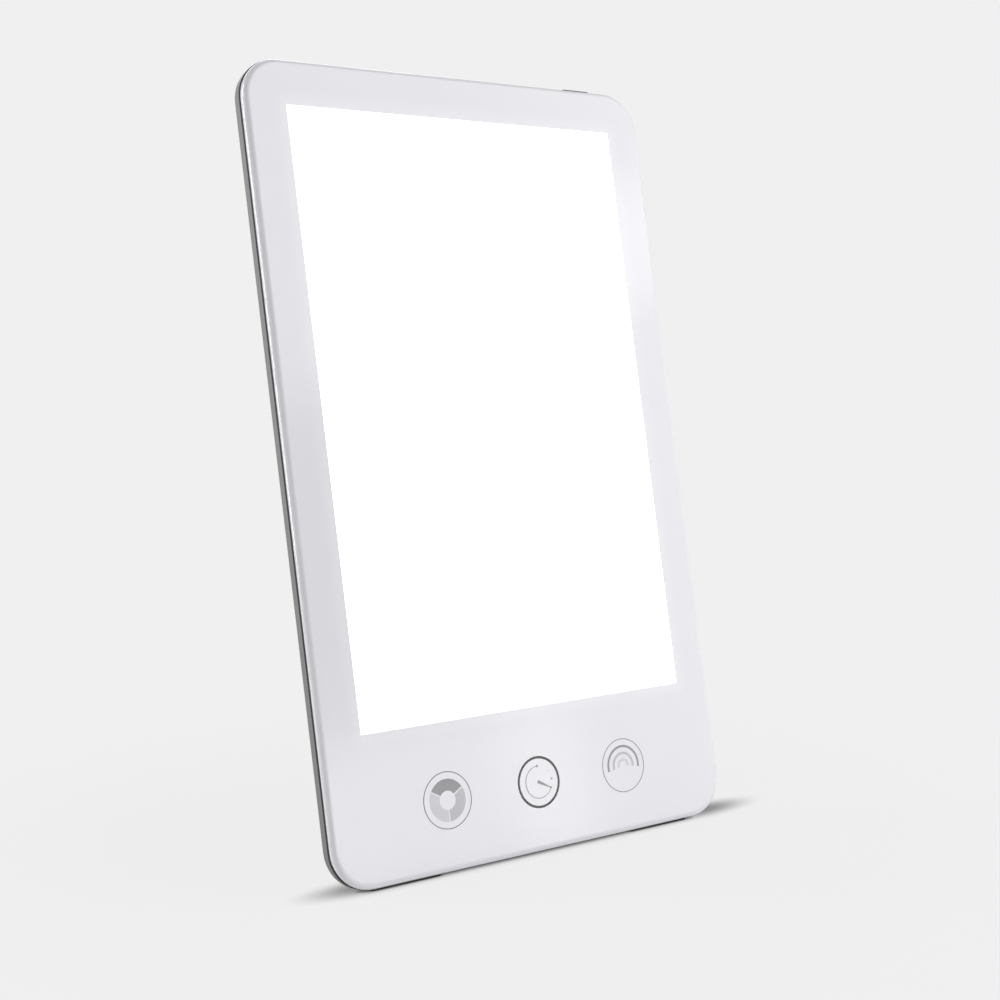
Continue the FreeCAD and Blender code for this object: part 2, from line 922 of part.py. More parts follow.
def leg_panel(inset, from_drop, to_drop, front, back):
    """A tapered plate between two distances below the hinge, drawn in at its sides."""
    top = leg_width_at(from_drop) / 2 - inset
    low = leg_width_at(to_drop) / 2 - inset
    high_z = hinge_height - from_drop
    low_z = hinge_height - to_drop
    loop = [point(-top, front, high_z), point(top, front, high_z), point(low, front, low_z),
            point(-low, front, low_z), point(-top, front, high_z)]
    return Part.Face(Part.makePolygon(loop)).extrude(point(0, back - front, 0))


def stand_leg_folded():
    front = hinge_depth - barrel_radius
    back = front + leg_thickness
    end = leg_length() - pad_sole
    plate = leg_panel(0, 0, end, front, back)
    outer = [e for e in at_depth(plate, back) if e.BoundBox.ZMin < hinge_height - 1]
    plate = plate.makeFillet(leg_round, outer)
    barrel = rod_across(barrel_radius, hinge_depth, hinge_height, -barrel_half, barrel_half)
    top = barrel_radius + leg_frame
    bottom = end - pad_height
    pocket = leg_panel(leg_frame, top, bottom, front - 1, back - leg_skin)
    ribs = []
    step = (bottom - top) / leg_rib_count
    for place in range(1, leg_rib_count):
        drop = top + place * step
        ribs.append(leg_panel(0, drop - leg_rib / 2, drop + leg_rib / 2, front, back - leg_skin))
    for side in (-1, 1):
        x = side * leg_foot_width / 5
        ribs.append(block(x - leg_rib / 2, x + leg_rib / 2, front, back - leg_skin,
                          hinge_height - bottom, hinge_height - top))
    leg = plate.cut(pocket).fuse(ribs + [barrel])
    bore = rod_across(pin_radius + pin_run, hinge_depth, hinge_height, -leg_half, leg_half)
    return leg.cut(bore)


def stand_heel():
    """The stop above the barrel, drawn in the open pose, where it rests on the back cover."""
    half = heel_width / 2
    front = panel_depth + heel_gap
    return block(-half, half, front, hinge_depth - barrel_radius * 0.3,
                 hinge_height + pin_radius + 1, hinge_height + barrel_radius + 1)


def opened(shape):
    turned = shape.copy()
    turned.rotate(point(0, hinge_depth, hinge_height), ACROSS, open_angle)
    return turned


def floor_block():
    """Everything under the floor, as seen from the upright panel."""
    size = panel_height * 2
    under = Part.makeBox(2 * size, 2 * size, size, point(-size, -size, -size))
    under.translate(point(0, 0, -foot_drop))
    under.rotate(point(0, 0, 0), ACROSS, lean_angle)
    return under


def stand_leg():
    leg = joined([opened(stand_leg_folded()), stand_heel()])
    bore = rod_across(pin_radius + pin_run, hinge_depth, hinge_height, -leg_half, leg_half)
    return leg.cut(bore)


def stand_foot_pad():
    front = hinge_depth - barrel_radius - pad_proud
    back = hinge_depth - barrel_radius + leg_thickness + pad_wall
    end = leg_length()
    half = leg_width_at(end) / 2 + pad_wall
    low = hinge_height - end - pad_sole
    high = hinge_height - end + pad_height
    pad = slab(-half, half, low, high, 2, front, back)
    pad = opened(pad)
    return pad.cut([stand_leg(), floor_block()])


def bottom_feet():
    feet = []
    for side in (-1, 1):
        strip = foot_strip(side * foot_spacing / 2, -foot_drop * 2, foot_sunk)
        feet.append(strip.cut(floor_block()))
    return group(feet)


# All pieces, tipped back and set on the floor


def all_pieces():
    return {
        "front_bezel": front_bezel(),
        "edge_gasket": edge_gasket(),
        "diffuser_plate": diffuser_plate(),
        "diffusion_film": diffusion_film(),
        "light_guide_plate": light_guide_plate(),
        "reflector_film": reflector_film(),
        "led_strip_left": led_strip(-1),
        "led_strip_right": led_strip(1),
        "led_chips_left": led_chips(-1),
        "led_chips_right": led_chips(1),
        "chassis_plate": chassis_plate(),
        "chassis_screws": chassis_screws(),
        "control_board": control_board(),
        "control_components": control_components(),
        "touch_pads": touch_pads(),
        "control_board_screws": control_board_screws(),
        "ribbon_cable": ribbon_cable(),
        "power_button": power_button(),
        "switch_plunger": switch_plunger(),
        "power_switch": power_switch(),
        "switch_board": switch_board(),
        "switch_board_screws": switch_board_screws(),
        "back_cover": back_cover(),
        "cover_screws": cover_screws(),
        "bottom_feet": bottom_feet(),
        "rear_housing": rear_housing(),
        "housing_screws": housing_screws(),
        "driver_board": driver_board(),
        "driver_board_screws": driver_board_screws(),
        "driver_inductor": driver_inductor(),
        "driver_capacitors": driver_capacitors(),
        "driver_chips": driver_chips(),
        "driver_connectors": driver_connectors(),
        "dc_inlet": dc_inlet(),
        "dc_inlet_pin": dc_inlet_pin(),
        "hinge_pin": hinge_pin(),
        "hinge_clip": hinge_clip(),
        "hinge_washers": hinge_washers(),
        "stand_leg": stand_leg(),
        "stand_foot_pad": stand_foot_pad(),
    }


def tipped(shape):
    leaning = shape.copy()
    leaning.rotate(point(0, 0, 0), ACROSS, -lean_angle)
    leaning.translate(point(0, 0, foot_drop))
    return leaning


os.makedirs("parts", exist_ok=True)
pieces = {name: tipped(shape) for name, shape in all_pieces().items()}
box = Part.makeCompound(list(pieces.values())).optimalBoundingBox()
shift = point(0, -(box.YMin + box.YMax) / 2, 0)
for name, shape in pieces.items():
    shape.translate(shift)
    if not shape.isValid():
        print("not valid:", name)
    shape.exportStep("parts/" + name + ".step")


def on_floor(x, y, z):
    """A place on the upright panel, as it lies once the panel leans."""
    return tipped(Part.Vertex(x, y, z)).translated(shift).Point


print("size", [round(v, 3) for v in (box.XLength, box.YLength, box.ZLength)])
print("shift", round(shift.y, 4))
print("hinge axis through", on_floor(0, hinge_depth, hinge_height))
print("keyhole at", on_floor(keyhole_spacing / 2, housing_back, keyhole_height))
print("inlet pin ends at", on_floor(inlet_nose() - inlet_pin_short, inlet_axis_depth(), inlet_height))
print("inlet bore starts at", on_floor(inlet_nose() - inlet_bore_depth, inlet_axis_depth(), inlet_height))
print("foot at", on_floor(foot_spacing / 2, foot_middle, 0))
print("leg length", round(leg_length(), 3))
print("panel", round(2 * half_width, 3), "by", round(panel_height, 3), "by", round(panel_depth, 3))
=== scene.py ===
# %% [markdown]
# A slim light therapy lamp leans back on a fold-out leg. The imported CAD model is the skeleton: it
# says where every piece is. This lesson gives the pieces their finish, prints the touch symbols on
# the front, cuts the crosses into the screw heads, and sets up a plain pale studio.

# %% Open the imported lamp
import math

import bmesh
import bpy
from mathutils import Matrix, Vector


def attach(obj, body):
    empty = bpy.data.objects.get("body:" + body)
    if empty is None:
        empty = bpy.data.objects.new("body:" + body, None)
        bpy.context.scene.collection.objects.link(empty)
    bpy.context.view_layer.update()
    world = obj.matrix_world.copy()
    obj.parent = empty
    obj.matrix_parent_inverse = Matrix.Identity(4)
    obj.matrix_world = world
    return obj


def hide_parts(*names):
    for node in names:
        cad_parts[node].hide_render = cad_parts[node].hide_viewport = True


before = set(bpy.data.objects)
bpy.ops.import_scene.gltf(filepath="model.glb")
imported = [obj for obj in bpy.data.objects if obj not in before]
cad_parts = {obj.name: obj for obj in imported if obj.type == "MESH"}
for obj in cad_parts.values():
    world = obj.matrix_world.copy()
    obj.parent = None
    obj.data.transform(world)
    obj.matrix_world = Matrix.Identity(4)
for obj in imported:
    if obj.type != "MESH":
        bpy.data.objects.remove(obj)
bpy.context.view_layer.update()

mm = 0.001

# %% [markdown]
# The panel leans back, but a designer thinks of it upright, so every place below is given as it
# would be on the upright panel: x across, y from front to back, z up. One matrix tips such a place
# onto the real, leaning panel, and its inverse reads the CAD nodes the other way.

# %% Upright places
lean_angle = math.radians(12.0)
lean = Matrix.Rotation(-lean_angle, 4, "X")
upright = lean.inverted()


def corners(places):
    """The lowest and the highest corner of a box round some places."""
    low = Vector([min(place[axis] for place in places) for axis in range(3)])
    high = Vector([max(place[axis] for place in places) for axis in range(3)])
    return low, high


def upright_box(node):
    """A CAD node's two corners on the upright panel."""
    return corners([upright @ vertex.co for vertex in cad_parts[node].data.vertices])


front = upright_box("front_bezel")[0].y
cover_low, cover_high = upright_box("back_cover")
window_low, window_high = upright_box("diffuser_plate")
pad_low, pad_high = upright_box("touch_pads")
print("panel", [round(v / mm, 1) for v in cover_high - cover_low], "mm")

# %% [markdown]
# Shader nodes are easier to read as small calls. One helper adds a node and fills its inputs: a
# number goes on the socket itself, and another node's output is linked to it. The others wrap the
# few nodes that every finish here needs, which are a noise, a colour ramp, a range and a bump.

# %% Shader helpers


def tone(red, green, blue):
    """A colour as a picture shows it, from 0 to 255, turned into the light that a shader wants."""
    def light(value):
        value /= 255
        return value / 12.92 if value <= 0.04045 else ((value + 0.055) / 1.055) ** 2.4
    return (light(red), light(green), light(blue), 1.0)


def fill(tree, socket, value):
    """Puts a number on a socket, or links another node's output to it."""
    if isinstance(value, bpy.types.NodeSocket):
        tree.links.new(value, socket)
    else:
        socket.default_value = value


def add(tree, kind, **inputs):
    """Adds a shader node. Input names are written with underscores for spaces."""
    made = tree.nodes.new("ShaderNode" + kind)
    for name, value in inputs.items():
        fill(tree, made.inputs[name.replace("_", " ")], value)
    return made


def fresh_tree(material):
    material.use_nodes = True
    material.node_tree.nodes.clear()
    return material.node_tree


def noise(tree, size, detail=2.0, stretch=(1.0, 1.0, 1.0)):
    """A soft random pattern whose blobs have about that size, in metres."""
    place = add(tree, "TexCoord").outputs["Object"]
    turned = add(tree, "Mapping", Vector=place, Scale=stretch).outputs["Vector"]
    return add(tree, "TexNoise", Vector=turned, Scale=1 / size, Detail=detail).outputs["Fac"]


def between(tree, factor, low, high, start=0.3, end=0.7):
    """A colour that runs from low to high as a factor goes from start to end."""
    ramp = add(tree, "ValToRGB", Fac=factor)
    for element, place, colour in zip(ramp.color_ramp.elements, (start, end), (low, high)):
        element.position = place
        element.color = colour
    return ramp.outputs["Color"]


def shade(colour, share):
    return (colour[0] * share, colour[1] * share, colour[2] * share, 1.0)


def ranged(tree, factor, low, high):
    """A factor from 0 to 1 made to run from low to high."""
    return add(tree, "MapRange", Value=factor, To_Min=low, To_Max=high).outputs["Result"]


def bumps(tree, height, strength, depth):
    """Small relief from a pattern. The depth is in metres."""
    return add(tree, "Bump", Height=height, Strength=strength, Distance=depth).outputs["Normal"]


def surface(tree, colour, roughness, relief, **constants):
    """The shader and its output. Constants go on the shader's own sockets."""
    shader = add(tree, "BsdfPrincipled", Base_Color=colour, Roughness=roughness, Normal=relief,
                 **constants)
    add(tree, "OutputMaterial", Surface=shader.outputs["BSDF"])


print("shader helpers are ready; mid grey is", round(tone(128, 128, 128)[0], 3), "as light")

# %% [markdown]
# Most pieces are moulded plastic. A steel mould leaves a fine grain, the resin is never quite one
# colour, and handling makes the gloss uneven. Three noises at different sizes give these, and the
# same recipe with other numbers serves for rubber, foam and film.

# %% Moulded finish
colour_drift_size = 30 * mm
handling_size = 12 * mm


def moulded(name, colour, gloss, grain, relief, drift=0.97):
    """gloss holds the lowest and highest roughness, grain the size of the texture in metres."""
    material = bpy.data.materials.new(name)
    tree = fresh_tree(material)
    tint = between(tree, noise(tree, colour_drift_size), shade(colour, drift), colour)
    worn = ranged(tree, noise(tree, handling_size, detail=4.0), *gloss)
    surface(tree, tint, worn, bumps(tree, noise(tree, grain, detail=3.0), 0.6, relief))
    material.diffuse_color = colour
    return material


grey_plastic = moulded("grey moulded plastic", tone(121, 118, 118), (0.40, 0.52),
                       grain=0.35 * mm, relief=0.02 * mm)
black_plastic = moulded("black plastic", tone(26, 26, 28), (0.30, 0.42),
                        grain=0.3 * mm, relief=0.008 * mm)
seam_foam = moulded("black seam foam", tone(30, 29, 31), (0.7, 0.85),
                    grain=0.25 * mm, relief=0.03 * mm, drift=0.85)
foot_rubber = moulded("dark foot rubber", tone(58, 57, 57), (0.62, 0.78),
                      grain=0.4 * mm, relief=0.025 * mm, drift=0.88)
touch_foam = moulded("conductive foam", tone(56, 56, 60), (0.8, 0.95),
                     grain=0.5 * mm, relief=0.1 * mm, drift=0.8)
white_film = moulded("matt white film", tone(246, 246, 246), (0.45, 0.6),
                     grain=0.2 * mm, relief=0.004 * mm)
nylon = moulded("natural nylon", tone(236, 234, 226), (0.35, 0.45),
                grain=0.5 * mm, relief=0.01 * mm)
flat_cable = moulded("flat cable", tone(224, 226, 230), (0.25, 0.4),
                     grain=2 * mm, relief=0.01 * mm)
ferrite = moulded("ferrite drum", tone(70, 70, 73), (0.55, 0.75),
                  grain=0.6 * mm, relief=0.05 * mm, drift=0.8)
print("moulded finishes:", len([m for m in bpy.data.materials if m.use_nodes]))

# %% [markdown]
# Sheet metal is rolled, and rolling draws fine lines along it. The same noise, stretched fifty times
# in one direction, makes these lines. Screws and the pin are zinc plated: rounder blotches in place
# of lines. Both use full Metallic, where the colour tints the reflections.

# %% Metals
rolled = (1.0, 1.0, 0.02)
even = (1.0, 1.0, 1.0)


def metal(name, colour, gloss, size, stretch):
    """One pattern drives the tint, the gloss and the relief, so that they keep together."""
    material = bpy.data.materials.new(name)
    tree = fresh_tree(material)
    lines = noise(tree, size, 3.0, stretch)
    tint = between(tree, lines, shade(colour, 0.9), colour)
    surface(tree, tint, ranged(tree, lines, *gloss), bumps(tree, lines, 0.4, 0.01 * mm), Metallic=1.0)
    material.diffuse_color = colour
    return material


aluminium = metal("rolled aluminium", tone(208, 209, 212), (0.32, 0.46), 0.4 * mm, rolled)
steel = metal("zinc plated steel", tone(190, 192, 196), (0.24, 0.38), 1.5 * mm, even)
brass = metal("plated brass", tone(214, 186, 118), (0.2, 0.32), 1.0 * mm, even)
can_metal = metal("sleeved can", tone(88, 96, 140), (0.3, 0.4), 2.0 * mm, even)
print("metals:", [m.name for m in (aluminium, steel, brass, can_metal)])

# %% [markdown]
# A circuit board is fibreglass under a coloured lacquer, with copper tracks that stand a hair proud
# and look a little lighter. A brick pattern has long runs joined by short steps, which reads as
# tracks. The boards under the light-emitting chips have the same pattern in white.

# %% Circuit boards
track_width = 0.16 * mm
track_length = 7.0 * mm
track_spacing = 1.3 * mm


def board(name, lacquer, track):
    """The pattern is turned, because a brick wall is drawn in a flat plane and the boards stand up."""
    material = bpy.data.materials.new(name)
    tree = fresh_tree(material)
    place = add(tree, "TexCoord").outputs["Object"]
    turned = add(tree, "Mapping", Vector=place, Rotation=(math.radians(90) + lean_angle, 0, 0))
    tracks = add(tree, "TexBrick", Vector=turned.outputs["Vector"], Scale=1.0, Color1=lacquer,
                 Color2=shade(lacquer, 0.92), Mortar=track, Mortar_Size=track_width,
                 Mortar_Smooth=0.1, Brick_Width=track_length, Row_Height=track_spacing)
    worn = ranged(tree, noise(tree, 5 * mm), 0.28, 0.4)
    surface(tree, tracks.outputs["Color"], worn, bumps(tree, tracks.outputs["Fac"], 0.5, 0.03 * mm))
    material.diffuse_color = lacquer
    return material


green_board = board("green circuit board", tone(24, 96, 58), tone(52, 132, 84))
white_board = board("white metal-core board", tone(238, 238, 234), tone(222, 224, 220))
print("boards:", green_board.name, "and", white_board.name)

# %% [markdown]
# The front shell is glossy white with a faint lavender cast. Its wall is thin, so next to the window a
# little light would leak through it, and this is painted as a faint glow of the shell itself. The glow
# is worked out from the distance to the window's edge: how far a place lies outside the window across
# and up, then the length of the two. The helpers for this come first, and the floor uses them again.

# %% Distances in a shader


def maths(tree, operation, *values):
    """A Math node's result. Its inputs share one name, so they are filled in order."""
    made = add(tree, "Math")
    made.operation = operation
    for socket, value in zip(made.inputs, values):
        fill(tree, socket, value)
    return made.outputs[0]


def outside(tree, value, low, high):
    """How far a value lies outside a range, or 0 inside it."""
    under = maths(tree, "SUBTRACT", low, value)
    over = maths(tree, "SUBTRACT", value, high)
    return maths(tree, "MAXIMUM", maths(tree, "MAXIMUM", under, over), 0.0)


def length(tree, vector):
    made = add(tree, "VectorMath", Vector=vector)
    made.operation = "LENGTH"
    return made.outputs["Value"]


def eased(tree, value, start, end, low, high):
    """Goes smoothly from low to high while a value goes from start to end."""
    made = add(tree, "MapRange", Value=value, From_Min=start, From_Max=end, To_Min=low, To_Max=high)
    made.interpolation_type = "SMOOTHERSTEP"
    return made.outputs["Result"]


print("window", [round(v / mm, 1) for v in window_high - window_low], "mm with its hidden lip")

# %% [markdown]
# The plate's box includes the lip that hides behind the shell, so the lip is taken off each side.
# The finish itself is very even: a hint of drift in the colour, and a gloss that hardly changes.

# %% Glossy white shell
lavender_white = tone(229, 228, 233)
leak_colour = (1.0, 0.99, 0.99, 1.0)
leak_reach = 7 * mm
painted_leak_glow = 0.03
window_lip = 3 * mm


def white_shell():
    material = bpy.data.materials.new("glossy white shell")
    tree = fresh_tree(material)
    place = add(tree, "TexCoord").outputs["Object"]
    turned = add(tree, "Mapping", Vector=place, Rotation=(lean_angle, 0, 0)).outputs["Vector"]
    split = add(tree, "SeparateXYZ", Vector=turned)
    across = outside(tree, split.outputs["X"], window_low.x + window_lip, window_high.x - window_lip)
    up = outside(tree, split.outputs["Z"], window_low.z + window_lip, window_high.z - window_lip)
    away = length(tree, add(tree, "CombineXYZ", X=across, Y=up).outputs["Vector"])
    # Painted glow: the shell itself gives a faint light that fades away from the window's edge.
    leak = eased(tree, away, 0.0, leak_reach, painted_leak_glow, 0.0)
    tint = between(tree, noise(tree, 60 * mm), shade(lavender_white, 0.992), lavender_white)
    worn = ranged(tree, noise(tree, 25 * mm, detail=4.0), 0.10, 0.15)
    surface(tree, tint, worn, bumps(tree, noise(tree, 4 * mm), 0.15, 0.01 * mm),
            Emission_Color=leak_colour, Emission_Strength=leak)
    material.diffuse_color = lavender_white
    return material


shell_white = white_shell()
print("shell:", shell_white.name, "leak reaches", leak_reach / mm, "mm")

# %% [markdown]
# The window is an opal plate that glows evenly when the lamp is on. Opal plastic scatters light, so
# there is no bright spot: an emission of nearly one over a white base gives full white, and a very
# faint noise in the base keeps it from looking like paper. The chips behind use the same recipe in
# yellow. The light guide is clear, with the fine dots that let the light out of its face.

# %% Lit window, light guide and chips


def glowing(name, base, light, strength, roughness):
    material = bpy.data.materials.new(name)
    tree = fresh_tree(material)
    tint = between(tree, noise(tree, 8 * mm), shade(base, 0.98), base)
    worn = ranged(tree, noise(tree, 20 * mm), roughness * 0.8, roughness)
    surface(tree, tint, worn, bumps(tree, noise(tree, 0.4 * mm), 0.3, 0.004 * mm),
            Emission_Color=light, Emission_Strength=strength)
    material.diffuse_color = base
    return material


lit_opal = glowing("lit opal window", tone(246, 246, 246), (1.0, 1.0, 1.0, 1.0), 0.9, 0.3)
lit_chips = glowing("phosphor chips", tone(240, 218, 120), (1.0, 0.97, 0.9, 1.0), 2.0, 0.5)

guide_tint = (0.93, 0.97, 0.98, 1.0)
dot_spacing = 1.6 * mm


def clear_acrylic():
    material = bpy.data.materials.new("clear acrylic")
    tree = fresh_tree(material)
    place = add(tree, "TexCoord").outputs["Object"]
    dots = add(tree, "TexVoronoi", Vector=place, Scale=1 / dot_spacing).outputs["Distance"]
    worn = ranged(tree, noise(tree, 15 * mm), 0.03, 0.08)
    surface(tree, guide_tint, worn, bumps(tree, dots, 0.3, 0.02 * mm), Transmission_Weight=0.9, IOR=1.49)
    return material


acrylic = clear_acrylic()
print("light:", lit_opal.name, lit_chips.name, acrylic.name)

# %% [markdown]
# A CAD node is loose triangles, which would show its flat facets. For the pieces that an eye can
# reach, a copy is welded and shaded smooth, with an edge kept sharp where two faces meet at more
# than a small angle. Weighted normals keep the large flat faces flat. The copy stands for its node.
# The foam in the seam is also swollen a little, so that the black strip also covers the shade in the gap
# between the two shells: partly real foam, partly painted shade.

# %% Smooth copies of the visible shells
weld = 0.001 * mm
sharp_angle = math.radians(28)
large_face_weight = 100
seam_shade_swell = (0.55 * mm, 0.35 * mm, 0.55 * mm)


def welded(node):
    """A CAD node's mesh with its triangles joined."""
    shape = bmesh.new()
    shape.from_mesh(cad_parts[node].data)
    bmesh.ops.remove_doubles(shape, verts=shape.verts, dist=weld)
    return shape


def finished(name, shape, smooth=False):
    """A bmesh turned into a mesh. The bmesh is freed."""
    mesh = bpy.data.meshes.new(name)
    shape.to_mesh(mesh)
    shape.free()
    if smooth:
        mesh.shade_smooth()
        mesh.set_sharp_from_angle(angle=sharp_angle)
    return mesh


def place_piece(name, mesh, body, material):
    """Makes a finished mesh a piece of the lamp."""
    piece = bpy.data.objects.new(name, mesh)
    bpy.context.scene.collection.objects.link(piece)
    mesh.materials.clear()
    mesh.materials.append(material)
    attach(piece, body)
    return piece


def swollen(shape, node, swell):
    """Grows a copy of a node about its own middle, by a length on every side: across, deep and up."""
    low, high = upright_box(node)
    grow = [1 + 2 * swell[axis] / (high[axis] - low[axis]) for axis in range(3)]
    middle = Matrix.Translation((low + high) / 2)
    wider = middle @ Matrix.Diagonal((*grow, 1)) @ middle.inverted()
    bmesh.ops.transform(shape, matrix=lean @ wider @ upright, verts=shape.verts)


def smooth_copy(node, name, body, material, swell=None):
    shape = welded(node)
    if swell:
        swollen(shape, node, swell)
    mesh = finished(name, shape, smooth=True)
    piece = place_piece(name, mesh, body, material)
    evened = piece.modifiers.new("even normals", "WEIGHTED_NORMAL")
    evened.keep_sharp = True
    evened.weight = large_face_weight
    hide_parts(node)
    print(name, "stands for", node, "with", len(mesh.polygons), "faces")


smooth_copy("front_bezel", "front_bezel_moulding", "panel", shell_white)
smooth_copy("back_cover", "back_cover_moulding", "panel", grey_plastic)
smooth_copy("rear_housing", "rear_housing_moulding", "panel", grey_plastic)
# The swollen black foam also paints the shade in the gap between the two shells.
smooth_copy("edge_gasket", "edge_gasket_strip", "panel", seam_foam, swell=seam_shade_swell)
smooth_copy("bottom_feet", "bottom_foot_strips", "panel", foot_rubber)
smooth_copy("stand_leg", "stand_leg_moulding", "stand", grey_plastic)
smooth_copy("stand_foot_pad", "stand_foot_rubber", "stand", foot_rubber)
smooth_copy("power_button", "power_button_cap", "button", black_plastic)
smooth_copy("dc_inlet", "dc_inlet_socket", "panel", black_plastic)
smooth_copy("hinge_pin", "hinge_pin_rod", "panel", steel)
smooth_copy("hinge_washers", "hinge_washer_pair", "panel", nylon)

# %% [markdown]
# The window, the pieces inside and the small hardware keep their CAD meshes: they are flat or out of
# sight, so nobody sees their facets. Only the material in the mesh's first slot is changed.

# %% Materials for the other nodes
node_materials = {
    "diffuser_plate": lit_opal,
    "diffusion_film": white_film,
    "light_guide_plate": acrylic,
    "reflector_film": white_film,
    "led_strip_left": white_board,
    "led_strip_right": white_board,
    "led_chips_left": lit_chips,
    "led_chips_right": lit_chips,
    "chassis_plate": aluminium,
    "chassis_screws": steel,
    "control_board": green_board,
    "control_components": black_plastic,
    "touch_pads": touch_foam,
    "control_board_screws": steel,
    "ribbon_cable": flat_cable,
    "switch_plunger": black_plastic,
    "power_switch": black_plastic,
    "switch_board": green_board,
    "switch_board_screws": steel,
    "driver_board": green_board,
    "driver_board_screws": steel,
    "driver_inductor": ferrite,
    "driver_capacitors": can_metal,
    "driver_chips": black_plastic,
    "driver_connectors": nylon,
    "dc_inlet_pin": brass,
    "hinge_clip": steel,
}
for name, material in node_materials.items():
    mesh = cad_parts[name].data
    mesh.materials.clear()
    mesh.materials.append(material)
print("nodes with their own mesh:", len(node_materials))

# %% [markdown]
# The shells are held by pan-head screws with a cross in the head. The head is a flat cylinder with
# its upper rim bevelled round. The cross is two tapered bars, each taken out of the head by a Boolean
# modifier, and the result is stored as a plain mesh. The sizes of the cross are shares of the head's
# radius and height, so that a larger screw gets a larger cross.

# %% Screw heads with a cross
rim_round = 0.45
near_top = 0.9
cross_reach, cross_width, cross_height = 1.15, 0.3, 1.3
cross_taper = (0.45, 0.6, 1.0)
shank_taper = 0.8
shank_overlap = 0.05


def stored(piece):
    """A mesh with the piece's modifiers worked in. The piece itself goes."""
    seen = piece.evaluated_get(bpy.context.evaluated_depsgraph_get())
    mesh = bpy.data.meshes.new_from_object(seen)
    bpy.data.objects.remove(piece)
    return mesh


def loose(name, shape):
    """A bmesh as an object that isn't yet a piece."""
    made = bpy.data.objects.new(name, finished(name, shape))
    bpy.context.scene.collection.objects.link(made)
    return made


def cross_bar(radius, height, turn):
    """One bar of the cross, narrower at its lower end."""
    bar = bmesh.new()
    bmesh.ops.create_cube(bar, size=1.0)
    size = (radius * cross_reach, radius * cross_width, height * cross_height)
    bmesh.ops.scale(bar, vec=size, verts=bar.verts)
    bottom = [vertex for vertex in bar.verts if vertex.co.z < 0]
    bmesh.ops.scale(bar, vec=cross_taper, verts=bottom)
    bmesh.ops.translate(bar, verts=bar.verts, vec=(0, 0, height))
    bmesh.ops.rotate(bar, verts=bar.verts, matrix=Matrix.Rotation(math.radians(turn), 3, "Z"))
    return loose("bar", bar)


def cross_screw(radius, height, shank, reach):
    """A screw that points down, with the underside of its head at the origin."""
    shape = bmesh.new()
    bmesh.ops.create_cone(shape, cap_ends=True, segments=40, radius1=radius, radius2=radius,
                          depth=height)
    bmesh.ops.translate(shape, verts=shape.verts, vec=(0, 0, height / 2))
    top = height * near_top
    rim = [edge for edge in shape.edges if all(vertex.co.z > top for vertex in edge.verts)]
    bmesh.ops.bevel(shape, geom=rim, offset=height * rim_round, segments=4, profile=0.5,
                    affect="EDGES", material=-1, clamp_overlap=True)
    stem = bmesh.ops.create_cone(shape, cap_ends=True, segments=20, radius1=shank * shank_taper,
                                 radius2=shank, depth=reach)["verts"]
    bmesh.ops.translate(shape, verts=stem, vec=(0, 0, shank_overlap * height - reach / 2))
    screw = loose("screw", shape)
    bars = [cross_bar(radius, height, turn) for turn in (0, 90)]
    for bar in bars:
        cut = screw.modifiers.new("cross", "BOOLEAN")
        cut.operation = "DIFFERENCE"
        cut.solver = "EXACT"
        cut.object = bar
    mesh = stored(screw)
    for bar in bars:
        bpy.data.objects.remove(bar)
    return mesh


print("a bar of the cross is", cross_width, "of the head's radius wide")

# %% [markdown]
# The CAD nodes hold their screws as one group of separate solids. Walking from vertex to vertex finds
# each solid, and its box says where that screw sits and how long it is. Every screw is turned a
# little further than the one before, as screws are once they are driven in.

# %% Screws in their places
turn_step = 37


def islands(shape):
    """The groups of joined vertices in a bmesh, one for each separate solid."""
    waiting = set(shape.verts)
    found = []
    while waiting:
        island = [waiting.pop()]
        for vertex in island:
            for edge in vertex.link_edges:
                other = edge.other_vert(vertex)
                if other in waiting:
                    waiting.remove(other)
                    island.append(other)
        found.append(island)
    return found


def screw_group(node, name, radius, height, shank):
    """Screws with crossed heads where a CAD node has its plain ones."""
    shape = welded(node)
    bmesh.ops.transform(shape, matrix=upright, verts=shape.verts)
    boxes = [corners([vertex.co for vertex in island]) for island in islands(shape)]
    boxes.sort(key=lambda box: tuple(box[0]))
    shape.clear()
    for count, (low, high) in enumerate(boxes):
        one = cross_screw(radius, height, shank, high.y - low.y - height)
        spin = Matrix.Rotation(math.radians(turn_step * count), 4, "Z")
        middle = (low + high) / 2
        seat = Matrix.Translation((middle.x, high.y - height, middle.z))
        one.transform(lean @ seat @ Matrix.Rotation(math.radians(-90), 4, "X") @ spin)
        shape.from_mesh(one)
        bpy.data.meshes.remove(one)
    piece = place_piece(name, finished(name, shape, smooth=True), "panel", steel)
    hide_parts(node)
    print(name, "has", len(boxes), "screws")


screw_group("cover_screws", "cover_cross_screws", radius=2.3 * mm, height=1.2 * mm, shank=1.1 * mm)
screw_group("housing_screws", "housing_cross_screws", radius=2.7 * mm, height=1.6 * mm, shank=1.4 * mm)

# %% [markdown]
# The three touch controls are only ink: a ring with a symbol in it. Each mark is real geometry, a
# film of ink a few hundredths of a millimetre thick. One edge is spun about the ring's middle to
# sweep a flat band, which is then extruded to the ink's thickness, so rings, arcs and sectors all
# come from the same call. The touch pads behind the front say where the three controls are.

# %% Printed marks
ink_thickness = 0.04 * mm
key_height = (pad_low.z + pad_high.z) / 2
pad_radius = (pad_high.z - pad_low.z) / 2
key_spacing = pad_high.x - pad_radius


def ink(name, colour, roughness=0.3):
    """Ink is far smoother than a mould's grain, and dull apart from the glossy black."""
    gloss = (roughness, roughness + 0.08)
    return moulded(name, colour, gloss, grain=0.3 * mm, relief=0.002 * mm, drift=0.96)


